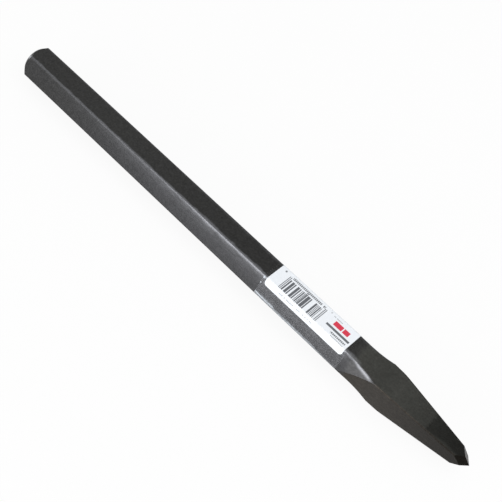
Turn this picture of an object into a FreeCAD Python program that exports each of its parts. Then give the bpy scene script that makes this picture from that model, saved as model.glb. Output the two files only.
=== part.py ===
# Bull point chisel: a hexagonal steel bar, forged to a tapered point, with a paper label under clear film.
# The bar lies on one flat: +X towards the point, +Z up, origin under its middle at the flat it rests on.
import FreeCAD, Part
import math
import os

from FreeCAD import Vector

# Bar stock
bar_length = 304.8          # struck face to tip
across_flats = 19.05        # hexagon, flat to flat
edge_radius = 0.7           # rolled edges of the hexagon and of the forged taper

# Struck end
struck_face_radius = 8.5    # flat circle that the hammer meets
struck_chamfer_angle = 38   # turned chamfer, from the bar's axis
struck_rim_radius = 0.6     # soft rim between flat and chamfer

# Forging
knee_from_tip = 46.2        # where the shoulder turns into the taper
knee_reach = 3.0            # how far that soft turn runs to either side
hollow_length = 20.4        # hollow run from the end of the hexagon to the knee's soft turn
top_press = 0.75            # how deep the top and bottom flats are pressed in, at the hollow's end
side_press = 3.5            # how deep the two side edges are, there
flare_delay = 4.6           # past the end of the hexagon, before the slanted flats begin to swell
corner_lead = 2.2           # the slanted flats run out so far ahead of the hollow's end

# Ground point
point_angle = 73.0          # between opposite ground facets
taper_end_from_tip = 7.2    # where the next two sizes are measured
taper_end_height = 8.4
taper_end_width = 7.3

# Paper label, folded over the top flat
label_thickness = 0.1
label_length = 49.8
label_clearance = 2.75      # from its end to the end of the hexagon
label_near_drop = 3.8       # how far it reaches down the near slanted flat
label_far_drop = 10.0       # and down the far one
label_corner_radius = 1.6

# Clear film over label and bar
film_thickness = 0.05       # over the paper
film_end_margin = 1.5       # past the label, towards the point
film_start_margin = 2.0     # past the label, towards the struck end
film_under_edge = 1.2       # reach round the side edges, on both sides

# Derived places, most of them as distances from the tip
hollow_end = knee_from_tip + knee_reach
forging_start = hollow_end + hollow_length
label_end_from_tip = forging_start + label_clearance
half_flats = across_flats / 2
half_corners = half_flats / math.cos(math.pi / 6)
side_length = half_corners
shoulder_half_height = half_flats - top_press
shoulder_half_width = half_corners - side_press
flat_reach = side_length / 2 - edge_radius * math.tan(math.pi / 6)
tip_x = bar_length / 2
beyond = 5.0                # how far construction solids overshoot the bar
same_place = 0.001          # nearer than this counts as touching
smooth_seam = 3.0           # faces that meet under this many degrees are one smooth run
axis_x = Vector(1, 0, 0)


def x_from_tip(distance):
    return tip_x - distance


def at(distance, height):
    """Point in the bar's side view, by distance from the tip and height over the axis."""
    return Vector(x_from_tip(distance), 0, height)


def line(start, end):
    return Part.LineSegment(start, end).toShape()


def arc(start, middle, end):
    return Part.Arc(start, middle, end).toShape()


def slab(outline, turn):
    """Solid between an outline and its mirror image, wider than the bar, turned about the bar's axis.

    Where the outline ends on the axis, the solid ends there in an edge."""
    lower = [edge.mirror(Vector(0, 0, 0), Vector(0, 0, 1)) for edge in outline]
    first = outline[0].valueAt(outline[0].FirstParameter)
    last = outline[-1].valueAt(outline[-1].LastParameter)
    open_ends = [point for point in (first, last) if point.z > same_place]
    ends = [line(point, Vector(point.x, 0, -point.z)) for point in open_ends]
    wire = Part.Wire(Part.__sortEdges__(outline + lower + ends))
    solid = Part.Face(wire).extrude(Vector(0, 4 * half_corners, 0))
    solid.translate(Vector(0, -2 * half_corners, 0))
    solid.rotate(Vector(0, 0, 0), axis_x, turn)
    return solid


def level_arc(level_end, other_end):
    """Arc between two points of the side view, parallel to the bar's axis at the first."""
    run = other_end.x - level_end.x
    rise = other_end.z - level_end.z
    radius = (run ** 2 + rise ** 2) / (2 * rise)
    half_turn = math.atan(rise / abs(run))
    forward = math.copysign(radius * math.sin(half_turn), run)
    middle = level_end + Vector(forward, 0, radius * (1 - math.cos(half_turn)))
    return arc(level_end, middle, other_end)


def knee_and_taper(shoulder_half, end_half):
    """Soft turn at the knee, then the straight taper to past the tip."""
    slope = (shoulder_half - end_half) / (knee_from_tip - taper_end_from_tip)
    knee_end = at(knee_from_tip - knee_reach, shoulder_half - knee_reach * slope)
    turn = Part.BezierCurve()
    turn.setPoles([at(knee_from_tip + knee_reach, shoulder_half), at(knee_from_tip, shoulder_half), knee_end])
    past_tip = at(-beyond, end_half - (taper_end_from_tip + beyond) * slope)
    return [turn.toShape(), line(knee_end, past_tip)]


def top_outline():
    """Half profile of the top and bottom: flat, hollow, knee and taper."""
    start = at(forging_start, half_flats)
    return [
        line(at(bar_length + beyond, half_flats), start),
        level_arc(at(hollow_end, shoulder_half_height), start),
        *knee_and_taper(shoulder_half_height, taper_end_height / 2),
    ]


def side_outline():
    """Half profile of the two sides: clear of the hexagon as far as its edge, then hollow, knee and taper."""
    start = at(forging_start, half_corners)
    return [
        line(at(bar_length + beyond, half_corners + beyond), start),
        level_arc(at(hollow_end, shoulder_half_width), start),
        *knee_and_taper(shoulder_half_width, taper_end_width / 2),
    ]


def hollow_rise(press, distance):
    """How far a hollow run of that full depth has risen again, so far ahead of its end."""
    radius = (hollow_length ** 2 + press ** 2) / (2 * press)
    return radius - math.sqrt(radius ** 2 - distance ** 2)


def flat_outline():
    """Half profile of two opposite slanted flats, which swell until they run out at the shoulder's corners."""
    corner_y = shoulder_half_width + hollow_rise(side_press, corner_lead)
    corner_z = shoulder_half_height + hollow_rise(top_press, corner_lead)
    rise = corner_y * math.cos(math.pi / 6) + corner_z * math.sin(math.pi / 6) - half_flats
    length = hollow_length - flare_delay - corner_lead
    radius = (length ** 2 + rise ** 2) / (2 * rise)
    start = at(forging_start - flare_delay, half_flats)
    full_length = hollow_length - flare_delay
    end_half = half_flats + radius - math.sqrt(radius ** 2 - full_length ** 2)
    end = at(hollow_end, end_half)
    return [
        line(at(bar_length + beyond, half_flats), start),
        level_arc(start, end),
        line(end, at(-beyond, end_half)),
    ]


def ground_outline():
    """Half profile of two opposite facets of the ground point."""
    slope = math.tan(math.radians(point_angle / 2))
    run = 4 * half_corners
    return [
        line(at(bar_length + beyond, run * slope), at(run, run * slope)),
        line(at(run, run * slope), at(0, 0)),
    ]


def turned_blank():
    """Round blank that trims the struck end to a flat circle, a soft rim and a chamfer."""
    radius = half_corners + beyond
    chamfer = math.radians(struck_chamfer_angle)
    chamfer_run = (radius - struck_face_radius) / math.tan(chamfer)
    rim_reach = struck_rim_radius * math.tan((math.pi / 2 - chamfer) / 2)
    face_end = at(bar_length, struck_face_radius - rim_reach)
    chamfer_start = at(bar_length - rim_reach * math.cos(chamfer),
                       struck_face_radius + rim_reach * math.sin(chamfer))
    rim_centre = face_end + Vector(struck_rim_radius, 0, 0)
    rim_turn = (math.pi / 2 - chamfer) / 2
    rim_middle = rim_centre + Vector(-math.cos(rim_turn), 0, math.sin(rim_turn)) * struck_rim_radius
    wide = at(bar_length - chamfer_run, radius)
    outline = Part.Wire([
        line(at(bar_length, 0), face_end),
        arc(face_end, rim_middle, chamfer_start),
        line(chamfer_start, wide),
        line(wide, at(-beyond, radius)),
        line(at(-beyond, radius), at(-beyond, 0)),
        line(at(-beyond, 0), at(bar_length, 0)),
    ])
    return Part.Face(outline).revolve(Vector(0, 0, 0), axis_x, 360).Solids[0]


def turn_across(solid, edge):
    """Angle in degrees between the two faces that meet at an edge."""
    middle = edge.valueAt((edge.FirstParameter + edge.LastParameter) / 2)
    faces = [face for face in solid.Faces if any(other.isSame(edge) for other in face.Edges)]
    normals = [face.normalAt(*face.Surface.parameter(middle)) for face in faces]
    return math.degrees(normals[0].getAngle(normals[-1]))


def lengthwise_edges(solid):
    """Edges that run along the bar, without the smooth seams and the cross edges at its ends."""
    found = []
    for edge in solid.Edges:
        run = abs(edge.valueAt(edge.FirstParameter).x - edge.valueAt(edge.LastParameter).x)
        if run > same_place and turn_across(solid, edge) > smooth_seam:
            found.append(edge)
    return found


def forged_bar():
    """Hexagon that runs into the forged taper, with its lengthwise edges rounded."""
    solid = slab(top_outline(), 0)
    for outline, turn in ((flat_outline(), 60), (flat_outline(), -60), (side_outline(), 90)):
        solid = solid.common(slab(outline, turn))
    solid = solid.Solids[0]
    return solid.makeFillet(edge_radius, lengthwise_edges(solid))


def chisel_bar():
    """The whole steel body: forged bar, four ground facets over its corners, turned struck end."""
    solid = forged_bar()
    for turn in (45, -45):
        solid = solid.common(slab(ground_outline(), turn))
    return solid.common(turned_blank()).Solids[0]


def face_angle(face):
    """Direction of a hexagon face's normal, counted from the top flat towards the near side."""
    return math.radians(90 + 60 * face)


def section_point(face, along, offset):
    """Point of the bar's section: on a face, so far from its middle, so far outside it."""
    angle = face_angle(face)
    out = Vector(0, math.cos(angle), math.sin(angle))
    onward = Vector(0, -math.sin(angle), math.cos(angle))
    return out * (half_flats + offset) + onward * along


def fold(face, offset):
    """Arc round the rounded edge between a face and the next one."""
    start = section_point(face, flat_reach, offset)
    end = section_point(face + 1, -flat_reach, offset)
    centre = section_point(face, flat_reach, -edge_radius)
    middle_angle = (face_angle(face) + face_angle(face + 1)) / 2
    middle = centre + Vector(0, math.cos(middle_angle), math.sin(middle_angle)) * (edge_radius + offset)
    return arc(start, middle, end)


def section_path(first, last, offset):
    """Lines and arcs along the section, from one (face, distance from its middle) to another."""
    edges = []
    for face in range(first[0], last[0] + 1):
        start = first[1] if face == first[0] else -flat_reach
        end = last[1] if face == last[0] else flat_reach
        edges.append(line(section_point(face, start, offset), section_point(face, end, offset)))
        if face < last[0]:
            edges.append(fold(face, offset))
    return edges


def skin(first, last, thickness, start_x, end_x):
    """Thin sheet laid round the bar's section and run along it."""
    inner = section_path(first, last, 0)
    outer = section_path(first, last, thickness)
    sides = [
        line(section_point(face, along, 0), section_point(face, along, thickness))
        for face, along in (first, last)
    ]
    wire = Part.Wire(Part.__sortEdges__(inner + outer + sides))
    wire.translate(Vector(start_x, 0, 0))
    return Part.Face(wire).extrude(Vector(end_x - start_x, 0, 0))


def corner_edges(sheet, thickness):
    """The four short edges at a sheet's corners."""
    box = sheet.BoundBox
    found = []
    for edge in sheet.Edges:
        middle = edge.CenterOfMass
        at_end = min(abs(middle.x - box.XMin), abs(middle.x - box.XMax)) < same_place
        if at_end and abs(edge.Length - thickness) < same_place:
            found.append(edge)
    return found


def paper_label():
    """White label, folded over the top flat and down both slanted flats, with round corners."""
    first = (-1, side_length / 2 - label_far_drop)
    last = (1, label_near_drop - side_length / 2)
    end_x = x_from_tip(label_end_from_tip)
    sheet = skin(first, last, label_thickness, end_x - label_length, end_x)
    return sheet.makeFillet(label_corner_radius, corner_edges(sheet, label_thickness))


def clear_film(label):
    """Clear film that seals the label to the bar, with a pocket that the paper fills."""
    reach = film_under_edge - side_length / 2
    end_x = x_from_tip(label_end_from_tip)
    sheet = skin((-2, -reach), (2, reach), label_thickness + film_thickness,
                 end_x - label_length - film_start_margin, end_x + film_end_margin)
    return sheet.cut(label).Solids[0]


def main():
    os.makedirs("parts", exist_ok=True)
    label = paper_label()
    nodes = {"chisel_bar": chisel_bar(), "paper_label": label, "clear_film": clear_film(label)}
    for name, shape in nodes.items():
        shape.translate(Vector(0, 0, half_flats))
        shape.exportStep(f"parts/{name}.step")


main()
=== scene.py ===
# Looks of the bull point chisel: scaled and worn steel with painted highlights, printed label, clear film,
# soft studio.
# The frame is the model's own: metres, +X towards the point, +Z up from the flat it rests on.
import math

import bpy
from mathutils import Matrix, Vector


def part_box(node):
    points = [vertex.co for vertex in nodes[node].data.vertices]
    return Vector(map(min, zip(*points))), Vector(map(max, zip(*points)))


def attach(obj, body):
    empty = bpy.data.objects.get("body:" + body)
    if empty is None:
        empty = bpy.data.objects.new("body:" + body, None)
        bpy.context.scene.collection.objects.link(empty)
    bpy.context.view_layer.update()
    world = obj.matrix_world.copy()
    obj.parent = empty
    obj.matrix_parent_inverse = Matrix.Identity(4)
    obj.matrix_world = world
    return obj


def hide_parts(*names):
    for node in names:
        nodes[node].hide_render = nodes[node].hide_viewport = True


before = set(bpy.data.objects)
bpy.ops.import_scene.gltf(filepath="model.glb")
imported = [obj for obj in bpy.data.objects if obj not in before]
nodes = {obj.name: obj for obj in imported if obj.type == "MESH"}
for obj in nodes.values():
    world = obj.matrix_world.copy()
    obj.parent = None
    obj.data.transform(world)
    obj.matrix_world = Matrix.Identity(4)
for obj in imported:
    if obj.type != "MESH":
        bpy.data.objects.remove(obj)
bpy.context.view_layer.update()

mm = 0.001

# Sizes read from the frame
bar_low, bar_high = (Vector(corner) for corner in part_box("chisel_bar"))
label_low, label_high = (Vector(corner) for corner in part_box("paper_label"))
film_low, film_high = (Vector(corner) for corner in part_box("clear_film"))
half_flats = (bar_high.z - bar_low.z) / 2
half_corners = half_flats / math.cos(math.pi / 6)
tip_x = bar_high.x
film_start_x = film_low.x
film_end_x = film_high.x
label_start_x = label_low.x
label_end_x = label_high.x

# Sizes that the frame doesn't hold
edge_radius = 0.7 * mm          # of the bar's lengthwise edges
label_thickness = 0.1 * mm
label_near_drop = 3.8 * mm      # down the near slanted flat
label_far_drop = 10.0 * mm      # down the far one
label_corner_radius = 1.6 * mm
film_under_edge = 1.2 * mm      # reach round the side edges
forging_start = 69.6 * mm       # from the tip
hollow_length = 20.4 * mm
top_press = 0.75 * mm           # depth of the hollow in the top flat, at its end
film_gap = 0.015 * mm           # between the film and what it covers
film_thickness = 0.03 * mm
film_tent = 0.7 * mm            # how far the film bridges past the paper's edge

# The bar's section, unrolled: distance round it from the middle of the top flat, + towards the far side
flat_reach = half_corners / 2 - edge_radius * math.tan(math.pi / 6)
fold_length = edge_radius * math.pi / 3
face_pitch = 2 * flat_reach + fold_length

# Where the two upper edges lie, in mm
edge_y = half_corners / 2 / mm
top_z = 2 * half_flats / mm

# Camera and studio
camera_target = (0.01056, 0.00432, 0.00953)
camera_azimuth = 35.993
camera_elevation = 55.04
camera_distance = 0.46717
camera_roll = 12.162
camera_lens = 68.959
floor_size = 12.0
floor_drop = 0.15 * mm


class Graph:
    """Small helper to write a material's nodes as expressions."""

    def __init__(self, name):
        self.material = bpy.data.materials.new(name)
        self.material.use_nodes = True
        self.tree = self.material.node_tree
        self.tree.nodes.clear()

    def node(self, kind, inputs=None, **settings):
        made = self.tree.nodes.new(kind)
        for key, value in settings.items():
            setattr(made, key, value)
        for key, value in (inputs or {}).items():
            if isinstance(value, bpy.types.NodeSocket):
                self.tree.links.new(value, made.inputs[key])
            else:
                made.inputs[key].default_value = value
        return made

    def math(self, operation, first, second=0.0, clamp=False):
        made = self.node("ShaderNodeMath", {0: first, 1: second}, operation=operation, use_clamp=clamp)
        return made.outputs[0]

    def sum(self, *values):
        result = values[0]
        for value in values[1:]:
            result = self.math("ADD", result, value)
        return result

    def less(self, first, second):
        return self.math("SUBTRACT", first, second)

    def product(self, *values):
        result = values[0]
        for value in values[1:]:
            result = self.math("MULTIPLY", result, value)
        return result

    def root_of_squares(self, first, second):
        return self.math("SQRT", self.sum(self.product(first, first), self.product(second, second)))

    def bell(self, value, middle, width):
        """Smooth hill, 1 where a value is at its middle."""
        away = self.math("DIVIDE", self.less(value, middle), width)
        return self.math("EXPONENT", self.product(self.product(away, away), -1.0))

    def wander(self, noise, reach):
        """Noise turned into a shift to either side of nothing."""
        return self.product(self.less(noise, 0.5), reach)

    def ramp(self, value, low, high, to_low=0.0, to_high=1.0):
        """Smooth step of a value between two limits."""
        made = self.node("ShaderNodeMapRange", {"Value": value, "From Min": low, "From Max": high,
                         "To Min": to_low, "To Max": to_high}, interpolation_type="SMOOTHSTEP")
        return made.outputs["Result"]

    def noise(self, vector, scale, detail=4.0, roughness=0.55, distortion=0.0):
        made = self.node("ShaderNodeTexNoise", {"Vector": vector, "Scale": scale, "Detail": detail,
                         "Roughness": roughness, "Distortion": distortion})
        return made.outputs["Fac"]

    def mix(self, factor, first, second):
        made = self.node("ShaderNodeMix", {"Factor": factor}, data_type="RGBA")
        for slot, value in ((6, first), (7, second)):
            if isinstance(value, bpy.types.NodeSocket):
                self.tree.links.new(value, made.inputs[slot])
            else:
                made.inputs[slot].default_value = (*value, 1.0)
        return made.outputs[2]

    def blend(self, factor, first, second):
        """Plain number between two numbers."""
        made = self.node("ShaderNodeMix", {"Factor": factor, 2: first, 3: second}, data_type="FLOAT")
        return made.outputs[0]

    def bump(self, height, strength, distance):
        return self.node("ShaderNodeBump", {"Height": height, "Strength": strength,
                         "Distance": distance}).outputs["Normal"]

    def scaled(self, colour, factor):
        return self.node("ShaderNodeVectorMath", {0: colour, "Scale": factor}, operation="SCALE").outputs[0]

    def position(self):
        """Object position in millimetres, and its parts."""
        place = self.node("ShaderNodeTexCoord").outputs["Object"]
        place = self.scaled(place, 1 / mm)
        parts = self.node("ShaderNodeSeparateXYZ", {0: place}).outputs
        return place, parts[0], parts[1], parts[2]

    def stretched(self, vector, factors):
        made = self.node("ShaderNodeVectorMath", {0: vector, 1: factors}, operation="MULTIPLY")
        return made.outputs[0]

    def finish(self, shader):
        self.node("ShaderNodeOutputMaterial", {"Surface": shader})
        return self.material


class SteelFields:
    """Places, masks and noises that the parts of the steel's look share; lengths in mm."""

    def __init__(self, g):
        self.place, x, self.y, self.z = g.position()
        self.from_tip = g.less(tip_x / mm, x)
        self.coarse = g.noise(self.place, 0.16, 5.0, 0.6)
        self.fine = g.noise(self.place, 0.9, 6.0, 0.65)
        self.grit = g.noise(self.place, 3.2, 3.0, 0.6)
        self.blotch = g.noise(self.place, 0.42, 2.0, 0.5)
        self.rolled = g.noise(g.stretched(self.place, (0.25, 1.6, 1.6)), 0.55, 4.0, 0.55)
        surface = g.node("ShaderNodeNewGeometry").outputs["Normal"]
        normal_parts = g.node("ShaderNodeSeparateXYZ", {0: surface}).outputs
        self.facing_tip = normal_parts[0]
        self.facing_up = normal_parts[2]
        self.top = g.ramp(self.facing_up, 0.9, 0.98)
        self.slanted = g.product(g.ramp(self.facing_up, 0.3, 0.4), g.ramp(self.facing_up, 0.98, 0.9))
        self.near_side = g.ramp(self.y, 0.5, -0.5, 0.25, 1.0)
        self.forged = g.ramp(g.sum(self.from_tip, g.wander(self.coarse, 8.0)), 68.5, 65.5)
        self.ground = g.ramp(self.facing_tip, 0.45, 0.5)
        across = g.less(g.math("ABSOLUTE", self.y), edge_y)
        self.from_ridge = g.root_of_squares(across, g.less(self.z, top_z))


def rolled_scale(g, steel):
    """Level and tint of the scale on the rolled bar, bluish towards the label."""
    side_level = g.ramp(steel.from_tip, 300.0, 190.0, 0.0455, 0.0485)
    top_level = g.ramp(steel.from_tip, 110.0, 240.0, 0.049, 0.067)
    blued = g.mix(g.ramp(steel.from_tip, 290.0, 200.0), (1.0, 1.0, 1.005), (0.985, 0.99, 1.035))
    return g.blend(steel.top, side_level, top_level), g.mix(steel.slanted, (1.0, 1.0, 0.98), blued)


def forged_scale(g, steel):
    """Level and tint where it was forged: brownish sides, darker to the tip, darkest where quenched."""
    wedge = g.product(steel.slanted, g.ramp(steel.from_tip, 50.0, 54.0))
    side_share = g.blend(wedge, g.ramp(steel.from_tip, 8.0, 45.0, 0.63, 0.69), 1.18)
    level = g.product(g.ramp(steel.from_tip, 0.0, 66.0, 0.0255, 0.067), g.blend(steel.top, side_share, 1.0))
    side_tint = g.mix(wedge, (1.12, 1.0, 0.86), (1.0, 1.0, 1.02))
    tint = g.mix(steel.top, side_tint, (1.0, 1.01, 0.92))

    taper_edge = g.product(steel.slanted, g.ramp(steel.from_tip, 54.0, 50.0))
    ragged = g.wander(steel.fine, 3.0)
    dark_start = g.ramp(g.sum(steel.from_tip, ragged), 24.4, 23.0)
    dark_side = g.sum(steel.y, ragged, g.ramp(steel.from_tip, 12.0, 24.0, 0.0, 2.4))
    quenched = g.product(dark_start, g.ramp(dark_side, -3.2, -1.7), steel.top)
    return g.product(level, g.blend(taper_edge, 1.0, 1.4), g.blend(quenched, 1.0, 0.6)), tint


def edge_wear_and_highlight(g, steel):
    """Worn metal along the two upper edges, more and more of it towards the label, with a painted sheen in a
    band below the ridge and a painted highlight on it, mostly on the near side.
    """
    band = g.math("EXPONENT", g.product(steel.from_ridge, -0.36))
    band = g.product(band, g.ramp(steel.from_tip, 290.0, 180.0, 0.1, 0.95), steel.slanted,
                     g.ramp(steel.rolled, 0.3, 0.7, 0.6, 1.4), 0.08, g.ramp(steel.from_tip, 64.0, 74.0))
    width = g.product(steel.from_ridge, g.ramp(steel.coarse, 0.35, 0.65, 1.25, 0.75),
                      g.ramp(steel.from_tip, 185.0, 165.0, 1.0, 0.7))
    below_ridge = g.ramp(steel.from_tip, 185.0, 165.0, 0.25, 0.8)
    over_ridge = g.blend(g.ramp(steel.facing_up, 0.6, 0.95), below_ridge, 1.0)
    crest = g.product(g.ramp(width, 1.1, 0.25), over_ridge, g.ramp(steel.from_tip, 300.0, 150.0, 0.14, 0.15),
                      g.ramp(steel.fine, 0.3, 0.7, 0.85, 1.15),
                      g.ramp(steel.from_tip, 61.0, 66.0), g.ramp(steel.from_tip, 66.0, 76.0, 0.65, 1.0))
    return g.product(g.sum(band, crest), steel.near_side)


def swell_burnish_and_highlight(g, steel):
    """Partly burnished metal and partly painted highlight where the slanted flats swell, brightest in a
    painted highlight line under their upper edge.
    """
    swell = g.product(g.ramp(g.product(steel.facing_tip, -1.0), 0.02, 0.09), steel.slanted)
    pressed = g.less(forging_start / mm, steel.from_tip)
    pressed = g.math("DIVIDE", pressed, hollow_length / mm, clamp=True)
    crown = g.less(top_z, g.product(pressed, pressed, top_press / mm))
    below = g.math("DIVIDE", g.less(crown, steel.z), math.cos(math.pi / 6))
    line = g.product(g.bell(below, g.ramp(steel.from_tip, 68.0, 61.5, 0.1, 1.3), 0.85),
                     g.ramp(steel.from_tip, 69.0, 61.0), g.ramp(steel.from_tip, 53.0, 57.0), 0.24)
    fade = g.product(g.ramp(below, 9.0, 6.0, 0.0, 0.014), swell)
    return g.product(g.sum(line, fade), steel.slanted, g.ramp(steel.from_tip, 71.0, 69.0))


def struck_corner_glint(g, steel):
    """Painted highlight: a bright spot where the near upper edge meets the struck end."""
    aside = g.math("ABSOLUTE", g.sum(steel.y, edge_y))
    return g.product(g.ramp(steel.from_tip, 302.3, 303.2), g.ramp(steel.from_ridge, 3.0, 1.4),
                     g.ramp(aside, 1.5, 0.5), 0.55)


def painted_film_reflection(g, steel):
    """Painted reflection of the film: steel made lighter and bluish where the film covers it, mostly on the
    near side.
    """
    film_low = (tip_x - film_end_x) / mm
    film_high = (tip_x - film_start_x) / mm
    covered = g.product(g.ramp(steel.from_tip, film_low - 0.1, film_low + 0.1),
                        g.ramp(steel.from_tip, film_high + 0.1, film_high - 0.1))
    top_film_reflection = g.ramp(steel.from_tip, 119.0, 122.0, 0.003, 0.016)
    side_film_reflection = g.product(g.ramp(steel.rolled, 0.3, 0.7, 0.022, 0.030),
                          g.ramp(steel.from_tip, 76.0, 96.0, 0.85, 1.15))
    return g.product(covered, g.blend(steel.slanted, top_film_reflection, side_film_reflection), steel.near_side)


def forged_steel():
    """Dark scale, worn to the metal along the near edge, brown where it was forged, plain where it is
    ground, with painted highlights on the edges, the swell and the struck corner, and a painted film
    reflection.
    """
    g = Graph("forged_steel")
    steel = SteelFields(g)
    rolled_level, rolled_tint = rolled_scale(g, steel)
    forged_level, forged_tint = forged_scale(g, steel)
    level = g.blend(steel.ground, g.blend(steel.forged, rolled_level, forged_level), 0.016)
    tint = g.mix(steel.forged, rolled_tint, forged_tint)
    grain = g.sum(g.wander(steel.fine, 1.15), g.wander(steel.blotch, 0.5))
    grain = g.product(grain, g.blend(g.product(steel.forged, steel.top), 1.0, 0.65))
    # Worn metal, painted highlights and the painted film reflection, added over the scale in one bluish
    # light colour
    worn_and_painted_light = g.sum(edge_wear_and_highlight(g, steel), swell_burnish_and_highlight(g, steel), struck_corner_glint(g, steel))
    worn_and_painted_light = g.sum(worn_and_painted_light, painted_film_reflection(g, steel))
    scale_colour = g.scaled(tint, g.product(level, g.sum(1.0, grain)))
    worn_and_painted_light_colour = g.scaled((0.96, 0.98, 1.06), worn_and_painted_light)
    colour = g.node("ShaderNodeVectorMath", {0: scale_colour, 1: worn_and_painted_light_colour}, operation="ADD").outputs[0]

    roughness = g.blend(g.ramp(steel.fine, 0.3, 0.7), 0.42, 0.50)
    roughness = g.blend(steel.ground, g.blend(steel.forged, roughness, 0.5), 0.3)
    relief = g.sum(g.product(steel.fine, 0.6), g.product(steel.grit, 0.3), g.product(steel.rolled, 0.5))
    shader = g.node("ShaderNodeBsdfPrincipled", {"Base Color": colour, "Roughness": roughness,
                    "Metallic": 1.0, "Normal": g.bump(relief, 0.35, 0.0003)})
    return g.finish(shader.outputs[0])


def unrolled(g, y, z):
    """Distance round the section from the middle of the top flat, in mm, + towards the far side."""
    side = g.math("ABSOLUTE", y)
    drop_y = g.product(g.less(side, edge_y), math.sin(math.pi / 6))
    drop_z = g.product(g.less(top_z, z), math.cos(math.pi / 6))
    drop = g.math("MAXIMUM", g.sum(drop_y, drop_z), 0.0)
    reach = g.sum(g.math("MINIMUM", side, edge_y), drop)
    return g.product(reach, g.math("SIGN", y))


def between(g, value, low, high, soft=0.06):
    """1 where a value lies between two limits."""
    return g.product(g.ramp(value, low - soft, low + soft), g.ramp(value, high + soft, high - soft))


def patch(g, u, v, box):
    """1 inside a rectangle (u from, u to, v from, v to)."""
    return g.product(between(g, u, box[0], box[1]), between(g, v, box[2], box[3]))


def spot(g, u, v, centre, radius, softness):
    """1 inside a round spot, which fades out over its softness."""
    away = g.root_of_squares(g.less(u, centre[0]), g.less(v, centre[1]))
    return g.ramp(away, radius, radius - softness)


def random_cells(g, value, size, share, seed):
    """1 in a random share of the cells of that size along a value."""
    cell = g.math("FLOOR", g.math("DIVIDE", value, size))
    random = g.node("ShaderNodeTexWhiteNoise", {"W": g.sum(cell, seed)}, noise_dimensions="1D")
    return g.math("LESS_THAN", random.outputs["Value"], share)


def glyph_row(g, u, v, box, pitch, share, seed):
    """Short strokes side by side with gaps between them, like small print that can't be read."""
    stroke = g.math("LESS_THAN", g.math("FRACT", g.math("DIVIDE", u, pitch)), 0.72)
    return g.product(stroke, random_cells(g, u, pitch, share, seed), patch(g, u, v, box))


# The label's print, in mm: rectangles are from the tip (from, to), then round the bar (from, to)
# Small print: rectangle, pitch of the strokes, share of them that is there, seed, strength of the ink
small_print = (
    ((93.0, 113.8, 3.0, 4.3), 0.9, 0.93, 3.0, 0.8),
    ((104.0, 113.5, -7.6, -7.0), 0.75, 0.85, 5.0, 0.6),
    ((92.0, 102.0, -7.6, -7.0), 0.75, 0.6, 6.0, 0.5),
    ((82.0, 87.4, 3.4, 4.0), 0.6, 0.9, 7.0, 0.5),
    ((74.0, 83.0, -4.2, -3.2), 0.9, 0.9, 9.0, 0.85),
    ((73.2, 82.0, -5.4, -4.9), 0.7, 0.85, 13.0, 0.6),
)
bar_field = (93.0, 114.0, -5.2, 2.2)
guard_starts = (115.6, 114.8, 104.1, 103.4, 92.7, 91.9)
guard_width = 0.42
guard_top = 3.4
dots = (((118.8, 3.9), 0.65, 0.75), ((89.3, 4.2), 0.55, 0.35))   # centre, radius, strength
dark_bar = (73.4, 87.4, -2.3, -1.1)
red_field = (76.0, 85.0, 0.0, 2.6)
red_gap = (79.4, 80.0)


def printed_ink(g, u, v):
    """Share of dark ink: bars with longer ones between them, small print, two dots and a solid bar."""
    bars = random_cells(g, u, 0.33, 0.52, 11.0)
    ink = g.product(bars, patch(g, u, v, bar_field), 0.92)
    for start in guard_starts:
        guard = patch(g, u, v, (start - guard_width, start, bar_field[2], guard_top))
        ink = g.math("MAXIMUM", ink, g.product(guard, 0.85))
    for box, pitch, share, seed, strength in small_print:
        ink = g.math("MAXIMUM", ink, g.product(glyph_row(g, u, v, box, pitch, share, seed), strength))
    for centre, radius, strength in dots:
        ink = g.math("MAXIMUM", ink, g.product(spot(g, u, v, centre, radius, 0.2), strength))
    return g.math("MAXIMUM", ink, g.product(patch(g, u, v, dark_bar), 0.9))


def label_paper():
    """Coated white paper with a plain printed layout: bars, strokes and two fields of colour."""
    g = Graph("label_paper")
    place, x, y, z = g.position()
    u = g.less(tip_x / mm, x)
    v = unrolled(g, y, z)
    fibre = g.noise(place, 2.2, 5.0, 0.6)
    paper = g.mix(g.ramp(fibre, 0.35, 0.7), (0.86, 0.895, 0.94), (0.89, 0.92, 0.955))
    ink = printed_ink(g, u, v)
    red = g.product(patch(g, u, v, red_field), g.less(1.0, between(g, u, *red_gap)))
    colour = g.mix(red, g.mix(ink, paper, (0.055, 0.06, 0.072)), (0.68, 0.035, 0.075))
    roughness = g.blend(g.math("MAXIMUM", ink, red), 0.55, 0.42)
    normal = g.bump(fibre, 0.08, 0.00004)
    shader = g.node("ShaderNodeBsdfPrincipled", {"Base Color": colour, "Roughness": roughness,
                    "Normal": normal})
    return g.finish(shader.outputs[0])


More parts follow.
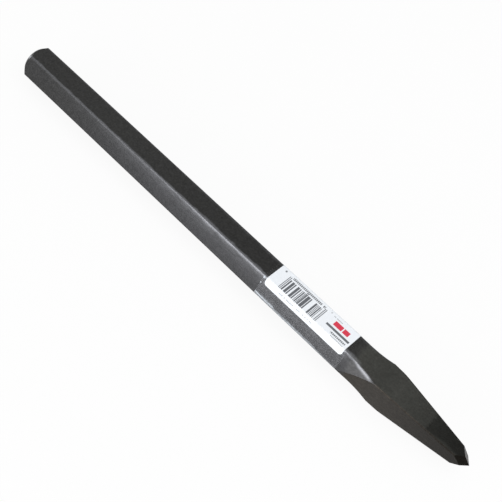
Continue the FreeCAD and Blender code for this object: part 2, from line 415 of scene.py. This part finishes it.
def clear_film():
    """Thin clear film, glossy at shallow angles, white along the near side edge and where it begins: partly
    whitened creased film, partly painted highlight.
    """
    g = Graph("clear_film")
    place, x, y, z = g.position()
    u = g.less(tip_x / mm, x)
    v = unrolled(g, y, z)
    scuff = g.noise(g.stretched(place, (0.5, 1.0, 1.0)), 0.8, 5.0, 0.65)
    wave = g.noise(g.stretched(place, (0.18, 0.6, 0.6)), 0.7, 2.0, 0.5)
    normal = g.bump(wave, 0.15, 0.0004)

    # White streaks and a rim along the side edge, partly whitened creased film and partly painted highlight,
    # and two spots where the film begins, which are painted highlights
    streak = g.bell(g.sum(v, g.wander(wave, 1.2)), g.ramp(u, 110.5, 112.5, -16.0, -15.4), 0.45)
    strength = g.sum(g.ramp(u, 72.0, 100.0, 0.04, 0.3), g.ramp(u, 111.5, 113.0, 0.0, 0.25))
    streak = g.product(streak, strength, g.ramp(scuff, 0.35, 0.6, 0.6, 1.2))
    rim = g.product(g.ramp(v, -15.9, -16.4), g.ramp(u, 70.0, 90.0, 0.1, 0.22))
    milky_and_glint_share = g.math("MAXIMUM", streak, rim)
    for centre, radius in (((123.7, -6.3), 1.0), ((124.0, -9.7), 0.6)):
        lifted_glint = g.product(spot(g, u, v, centre, radius, 0.7 * radius), 0.7)
        milky_and_glint_share = g.math("MAXIMUM", milky_and_glint_share, lifted_glint)

    # Reflection of the outer side only, less what it sends back from straight above
    fresnel = g.node("ShaderNodeFresnel", {"IOR": 1.45}).outputs[0]
    outer_side = g.less(1.0, g.node("ShaderNodeNewGeometry").outputs["Backfacing"])
    shine = g.product(g.math("MAXIMUM", g.less(fresnel, 0.05), 0.0), outer_side)

    clear = g.node("ShaderNodeBsdfTransparent", {"Color": (1.0, 1.0, 1.0, 1.0)})
    milky_glint = g.node("ShaderNodeBsdfDiffuse", {"Color": (0.78, 0.83, 0.89, 1.0)})
    gloss = g.node("ShaderNodeBsdfGlossy", {"Color": (1.0, 1.0, 1.0, 1.0), "Roughness": 0.3,
                   "Normal": normal})
    body = g.node("ShaderNodeMixShader", {0: milky_and_glint_share, 1: clear.outputs[0], 2: milky_glint.outputs[0]})
    shader = g.node("ShaderNodeMixShader", {0: shine, 1: body.outputs[0], 2: gloss.outputs[0]})
    return g.finish(shader.outputs[0])


def section_place(reach, offset):
    """(y, z) of a point by its distance round the bar from the middle of the top flat, and off the bar."""
    face = round(reach / face_pitch)
    along = reach - face * face_pitch
    bend = max(abs(along) - flat_reach, 0.0) / edge_radius
    on_flat = math.copysign(min(abs(along), flat_reach), along)
    face_turn = face * math.pi / 3
    turn = face_turn + math.copysign(bend, along)
    corner = Vector((on_flat, half_flats - edge_radius))
    out = Vector((math.sin(turn), math.cos(turn))) * (edge_radius + offset)
    y = corner.x * math.cos(face_turn) + corner.y * math.sin(face_turn) + out.x
    z = -corner.x * math.sin(face_turn) + corner.y * math.cos(face_turn) + out.y
    return y, z + half_flats


def smooth_step(value, low, high):
    share = min(max((value - low) / (high - low), 0.0), 1.0)
    return share * share * (3 - 2 * share)


def outside_label(x, reach):
    """Distance from the label's round-cornered outline on the unrolled bar, negative within it."""
    near_edge = -(face_pitch / 2 + label_near_drop)
    far_edge = face_pitch / 2 + label_far_drop
    half_x = (label_end_x - label_start_x) / 2 - label_corner_radius
    half_reach = (far_edge - near_edge) / 2 - label_corner_radius
    across = abs(x - (label_start_x + label_end_x) / 2) - half_x
    up = abs(reach - (near_edge + far_edge) / 2) - half_reach
    return math.hypot(max(across, 0.0), max(up, 0.0)) + min(max(across, up), 0.0) - label_corner_radius


# Creases of the film beside the near side edge
# Each has its middle from the tip, half length, distance round the bar, height and half width
creases = (
    (117.0 * mm, 7.5 * mm, -15.1 * mm, 0.34 * mm, 0.55 * mm),
    (106.0 * mm, 4.0 * mm, -15.35 * mm, 0.22 * mm, 0.4 * mm),
    (96.0 * mm, 6.0 * mm, -15.3 * mm, 0.24 * mm, 0.4 * mm),
    (84.0 * mm, 5.5 * mm, -15.25 * mm, 0.24 * mm, 0.45 * mm),
)


def film_height(x, reach):
    """How far the film's inner side stands off the bar."""
    paper = label_thickness * (1 - smooth_step(outside_label(x, reach), 0.1 * mm, film_tent))
    lift = 0.0
    for middle, half_length, crease_reach, height, half_width in creases:
        along = (tip_x - x - middle) / half_length
        across = (reach - crease_reach - 0.25 * mm * math.sin(along * 2.4)) / half_width
        if abs(along) < 1 and abs(across) < 1:
            lift = max(lift, height * (1 - along * along) * (1 - across * across) ** 2)
    return film_gap + paper + lift


def film_sheet():
    """The film as it lies: over the label, down to the bar beside it, lifted in a few creases."""
    half_width = 1.5 * face_pitch + film_under_edge
    columns = 168
    rows = 132
    vertices = []
    for side in (0.0, film_thickness):
        for column in range(columns + 1):
            x = film_start_x + (film_end_x - film_start_x) * column / columns
            for row in range(rows + 1):
                reach = -half_width + 2 * half_width * row / rows
                y, z = section_place(reach, film_height(x, reach) + side)
                vertices.append((x, y, z))
    layer = (columns + 1) * (rows + 1)

    def number(column, row, side):
        return side * layer + column * (rows + 1) + row

    faces = []
    for column in range(columns):
        for row in range(rows):
            corners = ((column, row), (column, row + 1), (column + 1, row + 1), (column + 1, row))
            faces.append([number(c, r, 0) for c, r in corners])
            faces.append([number(c, r, 1) for c, r in reversed(corners)])
    border = [(c, 0) for c in range(columns)] + [(columns, r) for r in range(rows)]
    border += [(c, rows) for c in range(columns, 0, -1)] + [(0, r) for r in range(rows, 0, -1)]
    for start, end in zip(border, border[1:] + border[:1]):
        faces.append([number(*start, 0), number(*end, 0), number(*end, 1), number(*start, 1)])
    mesh = bpy.data.meshes.new("film_sheet")
    mesh.from_pydata(vertices, [], faces)
    mesh.update()
    for polygon in mesh.polygons:
        polygon.use_smooth = True
    sheet = bpy.data.objects.new("film_sheet", mesh)
    bpy.context.scene.collection.objects.link(sheet)
    return sheet


def dress(piece, material):
    """Gives every slot of a piece one material."""
    piece.data.materials.clear()
    piece.data.materials.append(material)


def studio_floor():
    """Pale floor that shows white, and keeps the object's shadow."""
    mesh = bpy.data.meshes.new("floor")
    half = floor_size / 2
    corners = [(-half, -half, -floor_drop), (half, -half, -floor_drop), (half, half, -floor_drop),
               (-half, half, -floor_drop)]
    mesh.from_pydata(corners, [], [(0, 1, 2, 3)])
    floor = bpy.data.objects.new("floor", mesh)
    bpy.context.scene.collection.objects.link(floor)
    g = Graph("floor")
    path = g.node("ShaderNodeLightPath").outputs
    seen = g.math("MAXIMUM", path["Is Camera Ray"], path["Is Glossy Ray"])
    seen = g.math("MAXIMUM", seen, path["Is Transmission Ray"])
    paint = g.node("ShaderNodeBsdfDiffuse", {"Color": (0.86, 0.86, 0.86, 1.0)})
    white = g.node("ShaderNodeEmission", {"Color": (1.0, 1.0, 1.0, 1.0), "Strength": 1.0})
    share = g.product(seen, 0.92)
    shader = g.node("ShaderNodeMixShader", {0: share, 1: paint.outputs[0], 2: white.outputs[0]})
    floor.data.materials.append(g.finish(shader.outputs[0]))


def soft_box(name, place, target, width, height, brightness):
    """Area lamp that faces a target; brightness is what its surface shows, where 1 is white."""
    lamp = bpy.data.lights.new(name, "AREA")
    lamp.shape = "RECTANGLE"
    lamp.size = width
    lamp.size_y = height
    lamp.energy = brightness * math.pi * width * height
    holder = bpy.data.objects.new(name, lamp)
    holder.location = place
    aim = Vector(target) - Vector(place)
    holder.rotation_euler = aim.to_track_quat("-Z", "Y").to_euler()
    bpy.context.scene.collection.objects.link(holder)


def studio_light():
    world = bpy.data.worlds.new("studio")
    world.use_nodes = True
    background = world.node_tree.nodes["Background"]
    background.inputs["Color"].default_value = (1.0, 1.0, 1.0, 1.0)
    background.inputs["Strength"].default_value = 0.55
    bpy.context.scene.world = world
    soft_box("front_box", (-0.15, -1.0, 0.27), (0.03, 0.0, 0.01), width=0.9, height=0.5, brightness=4.2)
    soft_box("top_box", (0.75, 0.15, 1.15), (0.0, 0.0, 0.0), width=1.2, height=1.2, brightness=2.05)


def studio_camera():
    """Camera by azimuth, elevation and distance about its target, then rolled."""
    azimuth = math.radians(camera_azimuth)
    elevation = math.radians(camera_elevation)
    back = Vector((math.sin(azimuth) * math.cos(elevation), -math.cos(azimuth) * math.cos(elevation),
                   math.sin(elevation)))
    level = Vector((0.0, 0.0, 1.0)).cross(back).normalized()
    above = back.cross(level)
    roll = math.radians(camera_roll)
    right = level * math.cos(roll) + above * math.sin(roll)
    up = back.cross(right)
    camera = bpy.data.objects.new("camera", bpy.data.cameras.new("camera"))
    camera.data.lens = camera_lens
    camera.data.sensor_width = 36.0
    camera.data.clip_start = 0.01
    axes = Matrix((right, up, back)).transposed().to_4x4()
    camera.matrix_world = Matrix.Translation(Vector(camera_target) + back * camera_distance) @ axes
    bpy.context.scene.collection.objects.link(camera)
    bpy.context.scene.camera = camera


bpy.context.scene.view_settings.view_transform = "Standard"
dress(nodes["chisel_bar"], forged_steel())
dress(nodes["paper_label"], label_paper())
film = film_sheet()
dress(film, clear_film())
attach(film, "root")
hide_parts("clear_film")
studio_floor()
studio_light()
studio_camera()
